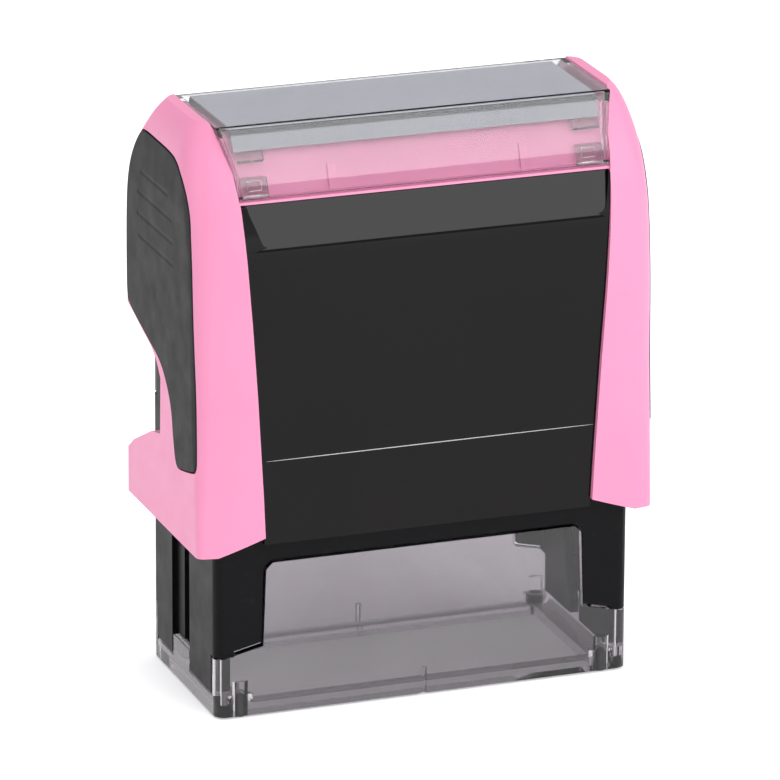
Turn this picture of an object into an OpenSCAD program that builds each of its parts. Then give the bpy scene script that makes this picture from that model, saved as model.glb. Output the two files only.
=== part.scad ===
// Self inking stamp, millimetres, +Z up, front towards -Y, origin at the bottom centre.
// The handle telescopes down over the base while the die flips from the ink pad to the paper.

/* [Overall] */
// width over the handle
handle_w = 64; // [64:0.5:66]
// depth over the handle
handle_d = 30.5; // [30.5:0.25:32]
// height of the closed stamp, set by the handle profile
total_h = 80; // [80:0.5:83]
// height of the lower edge of the handle at rest
skirt_z = 23.3; // [22.5:0.1:23.5]
// travel of the handle from rest to imprint
stroke = 21.5; // [20:0.1:21.5]

/* [Handle] */
// thickness of the handle side walls
side_t = 2.5; // [2.2:0.1:2.6]
// thickness of the handle front and rear walls
wall_t = 1.6; // [1.5:0.05:1.65]
// half width of the front panel field at the lower edge
field_lo = 22.8; // [22:0.2:24]
// half width of the front panel field at the upper edge
field_hi = 25.4; // [25:0.2:25.6]
// height of the upper edge of the panels
panel_z = 70.3; // [69.5:0.1:70.4]
// thickness of the glossy panels
panel_t = 0.85; // [0.7:0.05:0.9]
// depth of the grip inlays
grip_t = 1; // [0.8:0.1:1.2]
// half width of the recess that holds the window, at its lower end
roof_half = 25.7; // [25.5:0.1:25.8]
// thickness of the clear window
window_t = 1.2; // [1:0.1:1.4]

/* [Base] */
// width of the base frame
base_w = 58.3; // [57.8:0.1:58.4]
// depth of the base frame
base_d = 26; // [25.6:0.1:26]
// thickness of the base side walls
base_side_t = 2.55; // [2.5:0.05:2.6]
// thickness of the base front and rear walls
base_wall_t = 1.25; // [1.1:0.05:1.3]
// height of the base top plate
base_top = 48; // [47.6:0.1:48]
// upper edge of the front and rear windows in the base
arch_z = 21.6; // [21:0.1:22]
// half width of the windows in the base
arch_half = 22.5; // [22:0.1:23]
// width of the clear foot
foot_w = 58.2; // [57.8:0.1:58.3]
// depth of the clear foot
foot_d = 26.6; // [26.4:0.1:26.7]
// thickness of the clear foot walls
foot_t = 1.2; // [1:0.1:1.3]

/* [Ink pad] */
// lower face of the felt
felt_z = 37.9; // [37.9:0.05:38]
// height of the felt block
felt_h = 6.6; // [6:0.1:6.8]

/* [Die] */
// height of the die axle at rest
axle_z = 29.5; // [29.5:0.1:29.6]
// length of the imprint
die_w = 47; // [46:0.5:47]
// depth of the imprint
die_d = 17; // [16:0.5:17]
// distance from the axle to the printing face
die_r = 7.5; // [7.3:0.1:7.5]
// radius of the axle pins
axle_r = 1.5; // [1.4:0.05:1.5]
// distance from the axle to the cam lugs
lug_r = 3.6; // [3.5:0.1:3.6]

/* [Return spring] */
// mean radius of the coil
spring_r = 5.6; // [5.4:0.1:5.7]
// radius of the wire
wire_r = 0.45; // [0.4:0.05:0.5]
// number of turns
spring_turns = 5.5; // [4.5:0.5:5.5]

/* [Hidden] */
$fn = 64;

half_w = handle_w / 2;
half_d = handle_d / 2;
base_half = base_w / 2;
base_back = base_d / 2;
gap = 0.3;
fit = 0.1;
reach = 40;

// handle profile seen from the side, as [set back from the front face, height]
front_curve = [[0, 55], [0.35, 62], [0.85, 66], [1.75, 70], [3.05, 73], [4.85, 76], [6.35, 78.5],
    [7.05, total_h]];
// handle profile seen from the front, as [set back from the side face, height]
side_curve = [[0, 66], [0.1, 70], [0.35, 73.5], [0.9, 76.5], [1.8, 78.8], [2.9, total_h]];
// the part of the front profile that the panels follow
panel_curve = [[0, 55], [0.35, 62], [0.85, 66], [1.8, panel_z]];
// the shelf under the window, as [half depth, height]
shelf_curve = [[11.6, 70.6], [11.2, 71.2], [10.2, 73.9], [8.4, 76.3], [7.2, 77.9]];
// the window recess widens upwards, as [added half width, height]
roof_flare = [[0, 70], [0.4, 74.5], [1.2, 77.5], [1.9, 80], [1.9, 90]];
// the hollow of the handle, as [half depth, height]
hollow_curve = [[13, 65], [12, 70.2], [9, 70.8], [6.6, 75.2]];
// the opening at the rear of the handle where the ink pad is pulled out, as [y, height]
notch_outline = [[reach, 50], [14.56, 50], [8.2, 47.9], [4.7, 46.8], [2.5, 45.5], [0.84, 43.5],
    [1.1, 35.7], [4.6, 35], [12.3, 31.3], [14.6, 29.6], [reach, 29.6]];
// the grip inlay, as [y, height]
grip_outline = [[10.4, 74.9], [7.7, 76.2], [3.3, 76.4], [-3.6, 76.7], [-6.2, 76.4], [-8.3, 75.4],
    [-10.4, 73.3], [-12, 70.4], [-13, 66.5], [-13.4, 60.5], [-13.9, 53.8], [-14.3, 45.6],
    [-14.6, 37.4], [-14.4, 35.3], [-13.6, 34.9], [-6.7, 33.5], [-5.6, 33.7], [-4.6, 36.9],
    [-3.9, 40.9], [-1.8, 44], [0.8, 46.1], [4.2, 47.1], [13.6, 50], [14.4, 51], [14.8, 54],
    [14.7, 60.5], [14.1, 66], [13.1, 70], [11.9, 73]];
grip_mid_z = 55;
grip_pocket_scale = 1.006;
// the short grooves in each grip, as [rear end y, front end y, height]
grip_grooves = [[6.6, -4.3, 70.8], [8.4, -5.9, 67.6], [9.4, -6.3, 64.4], [9.5, -6.6, 61.5]];
groove_w = 0.7;

pad_ledge_z = 38.2;
pad_top = base_top - 1.7;
pad_back = 13.2;
side_inner = base_half - base_side_t;
cam_depth = 1.3;
lug_size = 1;
turn_rate = stroke / 180;
leg_z = 3.3;
post_z = 8.6;
plug_x = 25.6;
plug_y = 11.9;
plug_size = 1.05;
socket_size = 1.75;
foot_corner = 1.5;
base_corner = 1.4;
lock_z = 53.5;
lock_groove = 4.4;
lock_groove_y = 12.3;
spring_low = base_top + 0.05;
spring_high = 75.15;

function slope_at(a) = [lug_r * cos(a), -turn_rate * 180 / PI - lug_r * sin(a)];
function across(a) = [-slope_at(a)[1], slope_at(a)[0]] / norm(slope_at(a));
function lug_at(a) = [lug_r * sin(a), axle_z - turn_rate * a + lug_r * cos(a)];

// extrudes a [y, z] outline along X
module along_x(w) {
    rotate([90, 0, 90])
        linear_extrude(w, center = true)
            children();
}

// extrudes an [x, z] outline along Y
module along_y(d) {
    rotate([90, 0, 0])
        linear_extrude(d, center = true)
            children();
}

module both_sides() {
    children();
    mirror([1, 0, 0])
        children();
}

module round_rect(w, d, r) {
    square([w - 2 * r, d], center = true);
    square([w, d - 2 * r], center = true);
    for (x = [-1, 1], y = [-1, 1])
        translate([x * (w / 2 - r), y * (d / 2 - r)])
            circle(r);
}

module box_from(x, y, z) {
    translate([x[0], y[0], z[0]])
        cube([x[1] - x[0], y[1] - y[0], z[1] - z[0]]);
}

// the outer form of the handle, all openings still closed
module handle_body() {
    intersection() {
        along_x(handle_w)
            polygon(concat([[-half_d, skirt_z]], [for (p = front_curve) [p[0] - half_d, p[1]]],
                [for (i = [len(front_curve) - 1:-1:0]) [half_d - front_curve[i][0], front_curve[i][1]]],
                [[half_d, skirt_z]]));
        along_y(handle_d)
            polygon(concat([[-half_w, skirt_z]], [for (p = side_curve) [p[0] - half_w, p[1]]],
                [for (i = [len(side_curve) - 1:-1:0]) [half_w - side_curve[i][0], side_curve[i][1]]],
                [[half_w, skirt_z]]));
        linear_extrude(total_h)
            round_rect(handle_w, handle_d, 0.8);
    }
}

module handle_hollow() {
    inner = half_d - wall_t;
    wide = half_w - side_t;
    intersection() {
        along_x(2 * wide)
            polygon(concat([[-inner, 0], [-inner, 60]], [for (p = hollow_curve) [-p[0], p[1]]],
                [for (i = [len(hollow_curve) - 1:-1:0]) hollow_curve[i]], [[inner, 60], [inner, 0]]));
        along_y(handle_d)
            polygon([[-wide, 0], [-wide, 70.2], [-27.5, 72], [-27.5, 76], [27.5, 76], [27.5, 72],
                [wide, 70.2], [wide, 0]]);
    }
}

// a curved sheet behind the front face, between two set backs and two heights
module front_sheet(outer, inner, low) {
    along_x(handle_w)
        polygon(concat([[outer - half_d, low]], [for (p = panel_curve) [p[0] + outer - half_d, p[1]]],
            [for (i = [len(panel_curve) - 1:-1:0]) [panel_curve[i][0] + inner - half_d, panel_curve[i][1]]],
            [[inner - half_d, low]]));
}

// the tapered field between the rails, grown sideways
module field(grow, low, high) {
    along_y(2 * reach)
        polygon([[-field_lo - grow, low], [field_lo + grow, low], [field_hi + grow, high],
            [-field_hi - grow, high]]);
}

// a sheet that follows the side face, between two set backs
module side_sheet(outer, inner) {
    low = 30;
    along_y(2 * reach)
        polygon(concat([[half_w - outer, low]], [for (p = side_curve) [half_w - p[0] - outer, p[1]]],
            [for (i = [len(side_curve) - 1:-1:0]) [half_w - side_curve[i][0] - inner, side_curve[i][1]]],
            [[half_w - inner, low]]));
}

// the widening space between the rails, grown sideways
module roof_space(grow) {
    along_y(2 * reach)
        polygon(concat([for (p = roof_flare) [-roof_half - p[0] - grow, p[1]]],
            [for (i = [len(roof_flare) - 1:-1:0]) [roof_half + roof_flare[i][0] + grow, roof_flare[i][1]]]));
}

module window_recess() {
    intersection() {
        roof_space(0);
        along_x(handle_w)
            polygon(concat([[-reach, 70.6]], [for (p = shelf_curve) [-p[0], p[1]]],
                [for (i = [len(shelf_curve) - 1:-1:0]) shelf_curve[i]], [[reach, 70.6], [reach, 90],
                [-reach, 90]]));
    }
}

module handle_shell() {
    color([0.93, 0.62, 0.77])
        difference() {
            union() {
                difference() {
                    handle_body();
                    handle_hollow();
                    window_recess();
                }
                // short ribs on the shelf
                for (x = [-12.5, 12.5], s = [-1, 1])
                    translate([x, s * 9.6, 72.6])
                        rotate([s * 30, 0, 0])
                            cube([1.2, 1.2, 3.2], center = true);
            }
            // fields of the front and rear panels
            intersection() {
                field(0, 10, panel_z + 0.15);
                box_from([-reach, reach], [-reach, -11.8], [10, panel_z + 0.15]);
            }
            intersection() {
                field(0, 40, panel_z + 0.15);
                box_from([-reach, reach], [11.8, reach], [40, panel_z + 0.15]);
            }
            // pockets behind the rails for the panel edges
            intersection() {
                front_sheet(0.62, 2.2, 24);
                field(1.1, 24, panel_z);
            }
            mirror([0, 1, 0])
                intersection() {
                    front_sheet(0.62, 2.2, 49);
                    field(1.1, 24, panel_z);
                }
            along_x(2 * reach)
                polygon(notch_outline);
            // bevels at the lower ends of the rails
            both_sides()
                along_y(2 * reach)
                    polygon([[29.3, skirt_z - 1], [29.3, skirt_z], [field_lo - 1, 25.6], [0, 25.6],
                        [0, skirt_z - 1]]);
            both_sides()
                grip_pocket();
            // blind bearing holes for the axle pins
            both_sides()
                translate([base_half, 0, axle_z])
                    rotate([0, 90, 0])
                        cylinder(r = axle_r + 0.06, h = 1.9);
        }
}

module front_panel() {
    color([0.06, 0.06, 0.07])
        intersection() {
            front_sheet(0.7, 0.7 + panel_t, 24.3);
            field(1, 24.3, panel_z);
        }
}

module rear_panel() {
    color([0.06, 0.06, 0.07])
        difference() {
            mirror([0, 1, 0])
                intersection() {
                    front_sheet(0.7, 0.7 + panel_t, 50.3);
                    field(1, 24.3, panel_z);
                }
            box_from([-4.1, 4.1], [0, 20], [lock_z - 1.6, lock_z + 1.6]);
        }
}

module grip_pocket() {
    intersection() {
        side_sheet(-1, grip_t + fit);
        for (shift = [0, fit])
            translate([0, shift, grip_mid_z])
                along_x(2 * reach)
                    scale(grip_pocket_scale)
                        translate([0, -grip_mid_z])
                            polygon(grip_outline);
    }
}

module grip() {
    color([0.28, 0.28, 0.28])
        difference() {
            intersection() {
                side_sheet(-0.12, grip_t);
                along_x(2 * reach)
                    polygon(grip_outline);
                linear_extrude(total_h)
                    round_rect(handle_w + 0.24, handle_d, 0.8);
            }
            for (g = grip_grooves)
                translate([half_w - 0.25 - 9 * (g[2] - 61) / 100, 0, g[2]])
                    box_from([0, 3], [g[1], g[0]], [-groove_w / 2, groove_w / 2]);
        }
}

module left_grip() {
    mirror([1, 0, 0])
        grip();
}

module right_grip() {
    grip();
}

module index_window() {
    clip_w = 4;
    color([0.75, 0.78, 0.8, 0.35])
        difference() {
            intersection() {
                roof_space(-fit);
                along_x(handle_w)
                    polygon([[-10.1, 76.5], [-8.9, 78.5], [-8.2, total_h], [8.2, total_h], [8.9, 78.5],
                        [10.1, 76.5]]);
            }
            // hollow over the card
            intersection() {
                roof_space(-fit - window_t);
                along_x(handle_w)
                    polygon([[-9.55, 76], [-8, 78.4], [-7.5, total_h - window_t],
                        [7.5, total_h - window_t], [8, 78.4], [9.55, 76]]);
            }
            along_x(handle_w)
                polygon([[-9.1, 76], [-7.5, 78.2], [7.5, 78.2], [9.1, 76]]);
        }
    // front and rear sheets below the lips
    color([0.75, 0.78, 0.8, 0.35])
        for (y = [-1, 1])
            along_x(2 * roof_half - 2 * fit)
                polygon([[y * 12.45, 71.4], [y * 11.85, 71.4], [y * 9.5, 76.4], [y * 9.3, 76.8],
                    [y * 9.85, 76.8]]);
    // clips that hold the window at its four corners
    color([0.75, 0.78, 0.8, 0.35])
        for (x = [-1, 1], y = [-1, 1])
            translate([x * (roof_half - fit - clip_w / 2), 0, 0])
                along_x(clip_w)
                    polygon([[y * 12.45, 71.4], [y * 11.4, 71.4], [y * 9.1, 76.5], [y * 8.9, 76.9],
                        [y * 9.85, 76.9]]);
}

// a sheet of card bent over the shelf
module index_card() {
    color([0.68, 0.67, 0.72])
        along_x(47.6)
            polygon([[-8.9, 76.6], [-7.6, 78.4], [7.6, 78.4], [8.9, 76.6], [8.65, 76.6], [7.45, 78.15],
                [-7.45, 78.15], [-8.65, 76.6]]);
}

module lock_button() {
    nose_back = half_d - wall_t;
    color([0.3, 0.3, 0.31])
        union() {
            box_from([-4, 4], [nose_back + 0.1, half_d - 0.25], [lock_z - 1.5, lock_z + 1.5]);
            for (z = [-0.9, 0, 0.9])
                box_from([-3, 3], [half_d - 0.3, half_d], [lock_z + z - 0.2, lock_z + z + 0.2]);
        }
}

// one closed tube along a helix, the end turns lie flat
module return_spring() {
    steps = 22 * spring_turns;
    sides = 8;
    low = spring_low + wire_r;
    high = spring_high - wire_r;
    points = [for (i = [0:steps]) let (u = i / steps, a = 360 * spring_turns * u,
        flat = 0.75 / spring_turns, v = min(1, max(0, (u - flat) / (1 - 2 * flat))),
        z = low + wire_r * 1.9 * (min(u, flat) + max(0, u - 1 + flat)) / flat
            + (high - low - wire_r * 3.8) * v)
        for (k = [0:sides - 1]) let (b = 360 * k / sides, r = spring_r + wire_r * cos(b))
        [r * cos(a), r * sin(a), z + wire_r * sin(b)]];
    walls = [for (i = [0:steps - 1], k = [0:sides - 1]) let (n = (k + 1) % sides)
        [i * sides + k, i * sides + n, (i + 1) * sides + n, (i + 1) * sides + k]];
    ends = [[for (k = [sides - 1:-1:0]) k], [for (k = [0:sides - 1]) steps * sides + k]];
    color([0.7, 0.71, 0.73])
        polyhedron(points, concat(walls, ends), convexity = 6);
}

// the path that the cam lugs of the die follow through the base side walls
module cam_track() {
    wide = lug_size + 0.1;
    angles = [for (i = [0:12]) 15 * i];
    polygon(concat([for (a = angles) lug_at(a) + wide * across(a)],
        [for (i = [12:-1:0]) lug_at(angles[i]) - wide * across(angles[i])]));
    translate(lug_at(0))
        circle(wide);
    translate(lug_at(180))
        circle(wide);
}

module base_side() {
    difference() {
        translate([base_half - base_side_t / 2, 0, 0])
            along_x(base_side_t)
                polygon([[-11, leg_z], [11, leg_z], [11, post_z], [base_back, post_z], [base_back, 37.6],
                    [11.1, 37.6], [11.1, base_top], [-11.4, base_top], [-12.4, 45], [-base_back, 40],
                    [-base_back, post_z], [-11, post_z]]);
        // slot for the axle pin
        translate([base_half, 0, 0])
            along_x(4 * base_side_t) {
                translate([0, axle_z])
                    circle(axle_r + 0.1);
                translate([-axle_r - 0.12, 0])
                    square([2 * axle_r + 0.2, axle_z]);
            }
        // cam track on the inside
        translate([side_inner, 0, 0])
            along_x(2 * cam_depth)
                cam_track();
        // outer recess around the slot
        box_from([base_half - 0.65, base_half + 1], [-2.3, 4.9], [0, 35.2]);
        box_from([base_half - 1.3, base_half + 1], [-2.3, 4.9], [0, 6.2]);
    }
}

module base_face() {
    difference() {
        along_x(base_w)
            polygon([[-base_back, post_z], [-base_back + base_wall_t, post_z],
                [-base_back + base_wall_t, 39.5], [-11.2, 45], [-10.6, base_top], [-11.4, base_top],
                [-12.4, 45], [-base_back, 40]]);
        base_arch();
    }
}

// window between the legs, with the slanted lower ends of the legs
module base_arch() {
    along_y(2 * reach)
        polygon([[-base_half - 1, 0], [-base_half - 1, post_z], [-arch_half - 0.3, 10.3],
            [-arch_half, arch_z - 1], [-arch_half + 1, arch_z], [arch_half - 1, arch_z],
            [arch_half, arch_z - 1], [arch_half + 0.3, 10.3], [base_half + 1, post_z],
            [base_half + 1, 0]]);
}

module base_frame() {
    color([0.14, 0.14, 0.15])
        union() {
            intersection() {
                union() {
                    both_sides()
                        base_side();
                    base_face();
                    difference() {
                        box_from([-base_half, base_half], [base_back - base_wall_t, base_back],
                            [post_z, 37.6]);
                        base_arch();
                        box_from([-lock_groove, lock_groove], [lock_groove_y, 20], [29.5, 40]);
                    }
                }
                linear_extrude(base_top)
                    round_rect(base_w, base_d, base_corner);
            }
            // rails that carry the ink pad
            both_sides()
                box_from([24.3, side_inner + 0.1], [fit - base_back, 11.1], [36.6, pad_ledge_z]);
            // top plate with the spring seat
            box_from([-base_half, base_half], [-11.4, 11.1], [base_top - 1.4, base_top]);
            difference() {
                translate([0, 0, base_top - 0.5])
                    cylinder(r = spring_r - 1.1, h = 5);
                translate([0, 0, base_top])
                    cylinder(r = spring_r - 2.3, h = 6);
            }
            difference() {
                translate([0, 0, base_top - 0.5])
                    cylinder(r = spring_r + 1.7, h = 1.3);
                translate([0, 0, base_top])
                    cylinder(r = spring_r + 0.9, h = 2);
            }
        }
}

module clear_foot() {
    floor_z = 0.3;
    ring_z = 1.7;
    rim_z = 2.9;
    color([0.6, 0.6, 0.62, 0.4])
        difference() {
            union() {
                // walls with the front and rear windows
                intersection() {
                    difference() {
                        translate([0, 0, floor_z])
                            linear_extrude(21)
                                round_rect(foot_w, foot_d, foot_corner);
                        translate([0, 0, -1])
                            linear_extrude(30)
                                round_rect(foot_w - 2 * foot_t, foot_d - 2 * foot_t, 0.5);
                        box_from([-reach, reach], [-11.3, 11.3], [rim_z, 30]);
                    }
                    along_y(2 * reach)
                        polygon([[-foot_w / 2, 0], [-foot_w / 2, post_z - gap],
                            [-arch_half - 0.1, 10.1 - gap], [-arch_half + gap, arch_z - 1.2],
                            [-arch_half + 1.2, arch_z - gap], [arch_half - 1.2, arch_z - gap],
                            [arch_half - gap, arch_z - 1.2], [arch_half + 0.1, 10.1 - gap],
                            [foot_w / 2, post_z - gap], [foot_w / 2, 0]]);
                }
                // floor ring
                translate([0, 0, floor_z])
                    linear_extrude(ring_z - floor_z)
                        round_rect(foot_w, foot_d, foot_corner);
                // sockets of the rubber plugs
                intersection() {
                    for (x = [-1, 1], y = [-1, 1])
                        translate([x * plug_x, y * plug_y, floor_z])
                            cylinder(r = socket_size, h = 2.7);
                    linear_extrude(4)
                        round_rect(foot_w, foot_d, foot_corner);
                }
                // tabs in the side slots
                both_sides()
                    box_from([foot_w / 2 - 1, foot_w / 2], [-2, 4.6], [1, 5.9]);
            }
            // opening for the imprint
            box_from([-24.6, 24.6], [-9.9, 9.9], [-1, 5]);
            for (x = [-1, 1], y = [-1, 1])
                translate([x * plug_x, y * plug_y, -1])
                    cylinder(r = plug_size + 0.05, h = 6);
            // centre marks
            for (y = [-1, 1])
                translate([0, y * foot_d / 2, 0])
                    cylinder(r = 0.35, h = 4);
        }
}

module rubber_feet() {
    color([0.1, 0.1, 0.1])
        for (x = [-1, 1], y = [-1, 1])
            translate([x * plug_x, y * plug_y, 0])
                cylinder(r = plug_size, h = 2.8);
}

module pad_tray() {
    color([0.2, 0.2, 0.21])
        difference() {
            union() {
                box_from([gap - side_inner, side_inner - gap], [-10.9, 11.5], [pad_ledge_z + gap, pad_top]);
                along_x(52.8)
                    polygon([[11.4, 38], [pad_back, 38], [13, 41], [12.5, 44.5], [12.1, pad_top],
                        [11.4, pad_top]]);
            }
            // pocket for the felt
            box_from([-24, 24], [-9.8, 9.8], [30, felt_z + felt_h + 0.2]);
            // guide groove of the lock button
            box_from([-lock_groove, lock_groove], [lock_groove_y, 20], [30, 60]);
        }
}

module pad_felt() {
    color([0.12, 0.12, 0.3])
        box_from([-23.9, 23.9], [-9.7, 9.7], [felt_z, felt_z + felt_h]);
}

module pad_grip() {
    color([0.35, 0.35, 0.36])
        intersection() {
            box_from([26.45, base_half - 0.1], [11.4, pad_back], [38, 44.5]);
            translate([0, 0, 30])
                linear_extrude(20)
                    round_rect(base_w - 0.2, 2 * pad_back, 1.4);
            along_x(2 * reach)
                polygon([[11.4, 38], [12.7, 38], [pad_back, 38.5], [12.9, 41.5], [12.5, 43.6],
                    [12.1, 44.5], [11.4, 44.5]]);
        }
}

module left_pad_grip() {
    mirror([1, 0, 0])
        pad_grip();
}

module right_pad_grip() {
    pad_grip();
}

module die_carrier() {
    plate_low = axle_z + 2.2;
    plate_high = axle_z + die_r - 3.4;
    color([0.22, 0.22, 0.24])
        difference() {
            union() {
                box_from([-die_w / 2, die_w / 2], [-die_d / 2, die_d / 2], [plate_low, plate_high]);
                // beam along the axle
                box_from([1 - die_w / 2, die_w / 2 - 1], [-2.6, 2.6], [axle_z - 2.6, plate_low + 0.1]);
                both_sides() {
                    translate([die_w / 2 - 1.6, 0, axle_z])
                        rotate([0, 90, 0])
                            cylinder(r = 3.9, h = 2);
                    translate([die_w / 2, 0, axle_z])
                        rotate([0, 90, 0])
                            cylinder(r = lug_r + 1.1, h = side_inner - gap - die_w / 2);
                    translate([side_inner - gap - 0.1, 0, axle_z + lug_r])
                        rotate([0, 90, 0])
                            cylinder(r = lug_size, h = cam_depth + 0.2);
                }
            }
            // bores for the axle pins
            both_sides()
                translate([die_w / 2 - 3, 0, axle_z])
                    rotate([0, 90, 0])
                        cylinder(r = axle_r + 0.01, h = 8);
        }
}

module die_foam() {
    high = axle_z + die_r - 2.3;
    color([0.85, 0.84, 0.8])
        box_from([-die_w / 2, die_w / 2], [-die_d / 2, die_d / 2], [high - 1.05, high - 0.05]);
}

module rubber_die() {
    low = axle_z + die_r - 2.25;
    sheet = low + 1.25;
    high = axle_z + die_r;
    color([0.55, 0.2, 0.18])
        union() {
            box_from([-die_w / 2, die_w / 2], [-die_d / 2, die_d / 2], [low, sheet]);
            // raised border and plain bars
            difference() {
                box_from([0.4 - die_w / 2, die_w / 2 - 0.4], [0.4 - die_d / 2, die_d / 2 - 0.4], [low, high]);
                box_from([1 - die_w / 2, die_w / 2 - 1], [1 - die_d / 2, die_d / 2 - 1], [sheet, high + 1]);
            }
            for (y = [-4.2, 0, 4.2])
                box_from([3.2 * abs(y) / 4.2 - 18, 18 - 3.2 * abs(y) / 4.2], [y - 0.9, y + 0.9], [low, high]);
        }
}

module axle_pins() {
    color([0.75, 0.76, 0.78])
        both_sides()
            translate([die_w / 2 - 2.9, 0, axle_z])
                rotate([0, 90, 0])
                    cylinder(r = axle_r, h = base_half + 1.7 - die_w / 2 + 2.9);
}

handle_shell();
front_panel();
rear_panel();
left_grip();
right_grip();
index_window();
index_card();
lock_button();
return_spring();
base_frame();
clear_foot();
rubber_feet();
pad_tray();
pad_felt();
left_pad_grip();
right_pad_grip();
die_carrier();
die_foam();
rubber_die();
axle_pins();
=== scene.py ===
import math
import bmesh
import bpy
import numpy as np
from mathutils import Matrix


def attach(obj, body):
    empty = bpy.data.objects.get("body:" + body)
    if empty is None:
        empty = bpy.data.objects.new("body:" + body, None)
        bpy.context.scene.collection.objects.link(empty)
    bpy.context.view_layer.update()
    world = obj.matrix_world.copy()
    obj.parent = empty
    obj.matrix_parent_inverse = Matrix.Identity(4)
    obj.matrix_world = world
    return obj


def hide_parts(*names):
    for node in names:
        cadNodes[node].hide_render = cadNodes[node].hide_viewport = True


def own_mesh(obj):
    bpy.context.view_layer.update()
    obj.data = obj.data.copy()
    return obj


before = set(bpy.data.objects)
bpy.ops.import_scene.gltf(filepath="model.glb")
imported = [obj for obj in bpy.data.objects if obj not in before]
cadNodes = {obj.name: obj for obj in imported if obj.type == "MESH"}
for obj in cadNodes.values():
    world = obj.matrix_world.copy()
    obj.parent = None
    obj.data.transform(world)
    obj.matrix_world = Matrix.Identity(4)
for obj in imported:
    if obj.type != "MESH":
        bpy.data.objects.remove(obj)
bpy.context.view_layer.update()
scene = bpy.context.scene
mm = 0.001

# camera, floor and lights in metres and degrees; lens and sensor in millimetres
studio = {
    "lens": 316.14, "sensor": 36.0, "clipNear": 0.05, "clipFar": 20,
    "cameraPlace": (-0.300345, -0.809364, 0.329581),
    "elevation": 18.628, "heading": 20.351, "roll": 0.339,
    "floorSize": 24.0, "floorSteps": 5, "floorColour": (0.93, 0.93, 0.935, 1),
    "worldColour": (0.97, 0.98, 1.0, 1), "worldStrength": 0.62,
    "glowColour": (1, 1, 1, 1), "floorGlow": 0.26,
}
# each soft box: place, point it faces, width, height, power
softBoxes = {
    "frontBox": ((0.42, -1.25, 0.30), (0, 0, 0.06), 0.8, 0.26, 3.3),
    "highFrontBox": ((0.38, -1.04, 0.93), (0, 0, 0.05), 0.8, 0.6, 6.0),
    "overheadBox": ((-0.25, 0.1, 1.5), (0, 0, 0.03), 1.5, 1.5, 12.0),
    "leftBox": ((-1.4, -0.15, 0.6), (0, 0, 0.04), 0.8, 0.9, 3.2),
    "rightBox": ((1.15, -0.8, 0.6), (0, 0, 0.04), 0.7, 0.9, 6.0),
}


def lookingMatrix(place, forward, up):
    # columns are right, up and the reverse of the view direction, all unit vectors
    forward = np.array(forward, float) / np.linalg.norm(forward)
    right = np.cross(forward, up)
    right /= np.linalg.norm(right)
    above = np.cross(right, forward)
    made = np.eye(4)
    made[:3, 0], made[:3, 1], made[:3, 2], made[:3, 3] = right, above, -forward, place
    return made


def makeCamera():
    e, h, roll = (math.radians(studio[k]) for k in ("elevation", "heading", "roll"))
    ahead = np.array([math.sin(h) * math.cos(e), math.cos(h) * math.cos(e), -math.sin(e)])
    right = np.array([math.cos(h), -math.sin(h), 0])
    level = np.cross(right, ahead)
    up = math.cos(roll) * level - math.sin(roll) * right
    data = bpy.data.cameras.new("camera")
    data.lens, data.sensor_width = studio["lens"], studio["sensor"]
    data.clip_start, data.clip_end = studio["clipNear"], studio["clipFar"]
    camera = bpy.data.objects.new("camera", data)
    scene.collection.objects.link(camera)
    camera.matrix_world = Matrix(lookingMatrix(studio["cameraPlace"], ahead, up).tolist())
    scene.camera = camera


def makeLights():
    for name, (place, target, width, height, power) in softBoxes.items():
        data = bpy.data.lights.new(name, "AREA")
        data.shape, data.size, data.size_y, data.energy = "RECTANGLE", width, height, power
        lamp = bpy.data.objects.new(name, data)
        scene.collection.objects.link(lamp)
        toward = np.array(target) - np.array(place)
        lamp.matrix_world = Matrix(lookingMatrix(place, toward, (0, 0, 1)).tolist())
    world = bpy.data.worlds.new("studioAir")
    world.use_nodes = True
    air = world.node_tree.nodes["Background"]
    air.inputs["Color"].default_value = studio["worldColour"]
    air.inputs["Strength"].default_value = studio["worldStrength"]
    scene.world = world
    scene.view_settings.view_transform = "Standard"
    scene.cycles.use_denoising = True


makeCamera()
makeLights()
print("stage: studio")

# what the finishes share: sizes and depths in millimetres, but softReach in metres
moulding = {"scuffSize": 1.3, "scuffFrom": 0.60, "scuffTo": 0.74, "scuffMost": 0.5, "patchSize": 3.5,
            "waveSize": 9.0, "waveDepth": 0.012, "softReach": 0.0012}
clearSheet = {"hazeSize": 8.0, "smoothSize": 5.0, "markSize": 6.0, "markStretch": (0.4, 1, 1),
              "markDepth": 0.01}
paperSheet = {"fibreSize": 0.5, "fibreStretch": (1, 3, 1), "fibreDepth": 0.01, "patchSize": 2.0,
              "rough": (0.55, 0.75)}
# the crease of the card, a band of painted shade, lies between two distances from the middle; the flap
# outside it is painted dimmer as shade
creaseShade = {"near": 7.72, "far": 8.42, "blur": 0.12, "tint": (0.035, 0.035, 0.04, 1),
          "flapShade": 0.62}
brushing = {"lineSize": 0.6, "lineDepth": 0.004}
# how many finer layers each noise adds to itself
noiseLayers = {"wave": 1.0, "blotch": 2.0, "grain": 2.0, "haze": 3.0, "patch": 4.0, "fibre": 5.0}


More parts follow.
